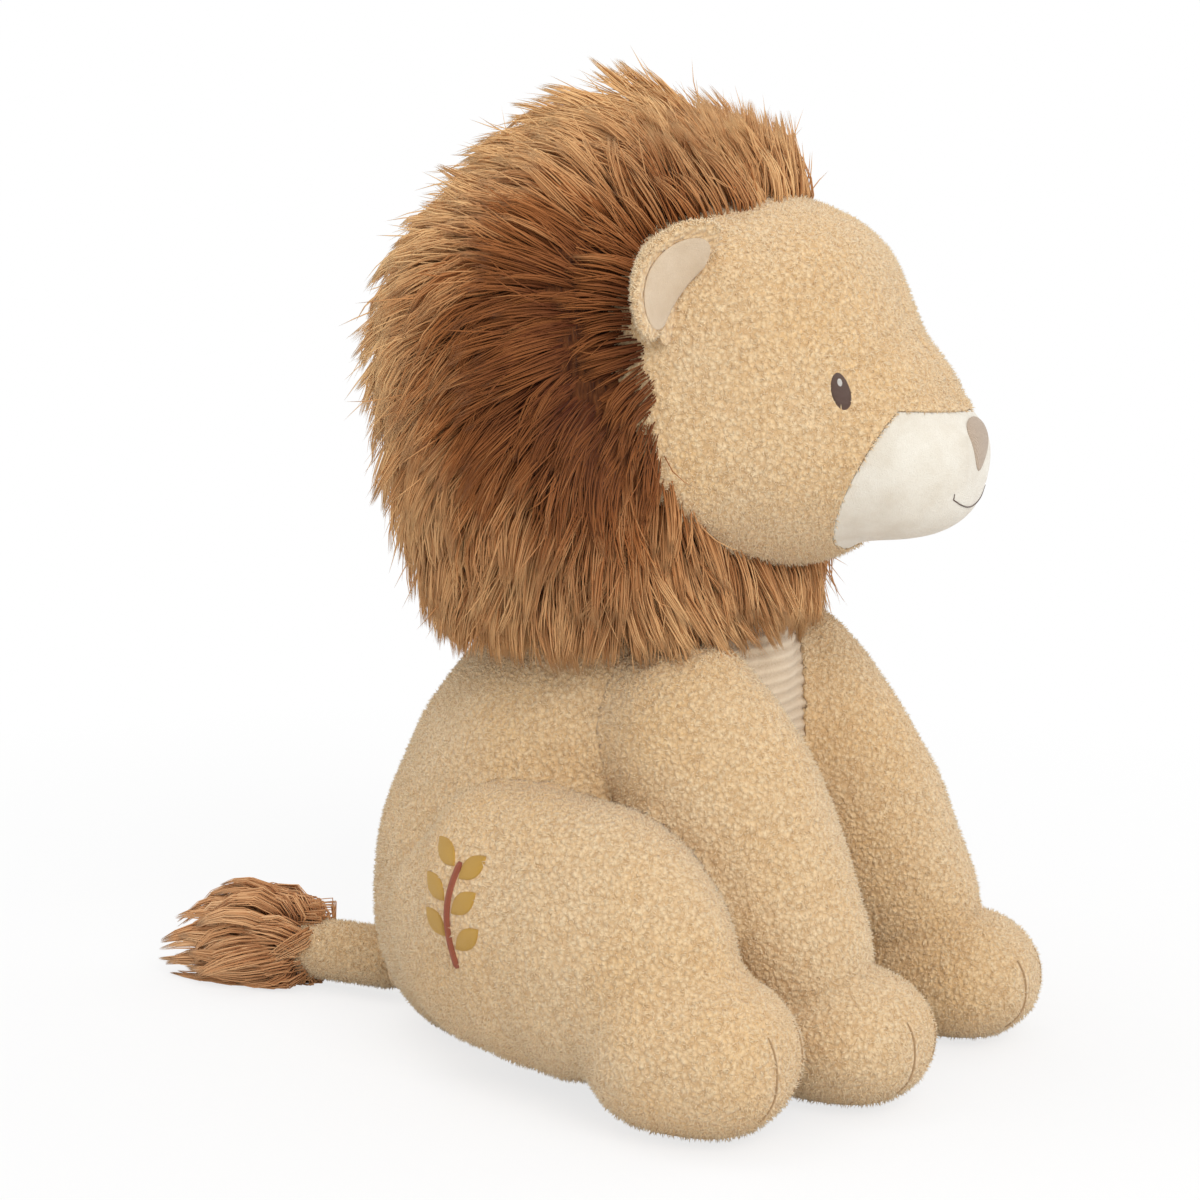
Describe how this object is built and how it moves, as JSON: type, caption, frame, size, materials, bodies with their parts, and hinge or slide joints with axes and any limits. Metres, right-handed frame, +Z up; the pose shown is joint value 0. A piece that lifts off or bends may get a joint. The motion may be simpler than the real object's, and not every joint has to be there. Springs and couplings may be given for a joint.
{
  "type": "plush lion",
  "caption": "Sitting plush lion with a long fur mane, cupped ears, embroidered face, ribbed belly panel, turning head and tufted tail.",
  "frame": {"origin": "on the floor, in the middle of the flat of the seat", "axes": "+Z up, the lion faces -Y and its right side is -X"},
  "size_m": [0.416, 0.578, 0.588],
  "materials": {
    "plush_cloth": "short looped pile, matt",
    "ivory_velour": "smooth short pile, matt",
    "ribbed_cloth": "wide ribs, matt",
    "nose_cloth": "fine cloth, matt",
    "mane_fur": "long pile",
    "thread_brown": "embroidery thread, soft sheen",
    "thread_tan": "sewing thread",
    "thread_white": "embroidery thread, soft sheen",
    "thread_rust": "embroidery thread, soft sheen",
    "thread_ochre": "embroidery thread, soft sheen",
    "stuffing": "loose fibre",
    "bag_cloth": "plain woven"
  },
  "bodies": {
    "torso": {"torso_skin": "plush_cloth", "belly_panel": "ribbed_cloth", "seat_bead_bag": "bag_cloth", "torso_filling": "stuffing", "front_leg_right_skin": "plush_cloth", "front_leg_right_filling": "stuffing", "front_leg_right_sole": "plush_cloth", "front_leg_right_toe_stitch_outer": "thread_tan", "front_leg_right_toe_stitch_inner": "thread_tan", "hind_leg_right_skin": "plush_cloth", "hind_leg_right_filling": "stuffing", "hind_leg_right_sole": "plush_cloth", "hind_leg_right_toe_stitch_outer": "thread_tan", "hind_leg_right_toe_stitch_inner": "thread_tan", "front_leg_left_skin": "plush_cloth", "front_leg_left_filling": "stuffing", "front_leg_left_sole": "plush_cloth", "front_leg_left_toe_stitch_inner": "thread_tan", "front_leg_left_toe_stitch_outer": "thread_tan", "hind_leg_left_skin": "plush_cloth", "hind_leg_left_filling": "stuffing", "hind_leg_left_sole": "plush_cloth", "hind_leg_left_toe_stitch_inner": "thread_tan", "hind_leg_left_toe_stitch_outer": "thread_tan", "sprig_stem": "thread_rust", "sprig_leaf_front_1": "thread_ochre", "sprig_leaf_back_1": "thread_ochre", "sprig_leaf_front_2": "thread_ochre", "sprig_leaf_back_2": "thread_ochre", "sprig_leaf_front_3": "thread_ochre", "sprig_leaf_back_3": "thread_ochre"},
    "neck": {"neck_gusset": "plush_cloth"},
    "head": {"head_skin": "plush_cloth", "muzzle_panel": "ivory_velour", "nose": "nose_cloth", "head_filling": "stuffing", "mouth_stitch": "thread_brown", "eye_right": "thread_brown", "eye_glint_right": "thread_white", "eye_left": "thread_brown", "eye_glint_left": "thread_white", "ear_right_root": "plush_cloth", "ear_left_root": "plush_cloth", "mane": "mane_fur"},
    "right_ear": {"ear_right_back": "plush_cloth", "ear_right_lining": "ivory_velour"},
    "left_ear": {"ear_left_back": "plush_cloth", "ear_left_lining": "ivory_velour"},
    "tail_root": {"tail_gusset": "plush_cloth"},
    "tail": {"tail_skin": "plush_cloth", "tail_filling": "stuffing", "tail_tuft": "mane_fur"}
  },
  "joints": [
    {"name": "head_turn", "type": "hinge", "parent": "torso", "child": "neck", "pos_m": [0, -0.104, 0.288], "axis": [0, 0, 1], "range_deg": [-10, 10], "stiffness_Nm_per_rad": 4, "deforming": ["neck_gusset"]},
    {"name": "head_nod", "type": "hinge", "parent": "neck", "child": "head", "pos_m": [0, -0.104, 0.3], "axis": [1, 0, 0], "range_deg": [-2, 6], "stiffness_Nm_per_rad": 15},
    {"name": "ear_fold_right", "type": "hinge", "parent": "head", "child": "right_ear", "pos_m": [-0.1108, -0.1551, 0.4687], "axis": [0.5777, -0.3138, 0.7535], "range_deg": [0, 30], "stiffness_Nm_per_rad": 0.05, "deforming": ["ear_right_root"]},
    {"name": "ear_fold_left", "type": "hinge", "parent": "head", "child": "left_ear", "pos_m": [0.1108, -0.1551, 0.4687], "axis": [0.5777, 0.3138, -0.7535], "range_deg": [0, 30], "stiffness_Nm_per_rad": 0.05, "deforming": ["ear_left_root"]},
    {"name": "tail_swing", "type": "hinge", "parent": "torso", "child": "tail_root", "pos_m": [0, 0.089, 0.025], "axis": [0, 0, 1], "range_deg": [-25, 25], "stiffness_Nm_per_rad": 0.3, "deforming": ["tail_gusset"]},
    {"name": "tail_lift", "type": "hinge", "parent": "tail_root", "child": "tail", "pos_m": [0, 0.0893, 0.044], "axis": [1, 0, 0], "range_deg": [0, 25], "stiffness_Nm_per_rad": 0.3}
  ]
}
